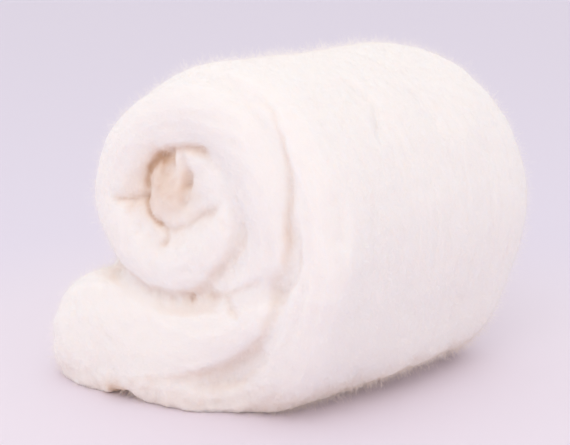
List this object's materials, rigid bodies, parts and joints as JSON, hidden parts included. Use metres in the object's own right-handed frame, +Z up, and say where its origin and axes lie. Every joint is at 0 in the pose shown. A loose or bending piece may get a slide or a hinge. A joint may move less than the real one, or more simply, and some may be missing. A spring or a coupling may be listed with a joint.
{
  "type": "rolled carded wool batt",
  "caption": "Thick, soft batt of cream carded wool, loosely rolled and lying on its side with its free end out on the surface.",
  "frame": {"origin": "middle of the batt's bounding box, on the surface that it lies on", "axes": "+Z up, +Y along the roll's axis from its open spiral end to its far end, +X to the right seen from the open end, away from the loose end"},
  "size_m": [0.3068, 0.3496, 0.285],
  "materials": {
    "carded_wool": "matte, fluffy carded wool fibre with a soft halo of loose hairs"
  },
  "bodies": {
    "root": {"wool_batt": "carded_wool"}
  },
  "joints": []
}
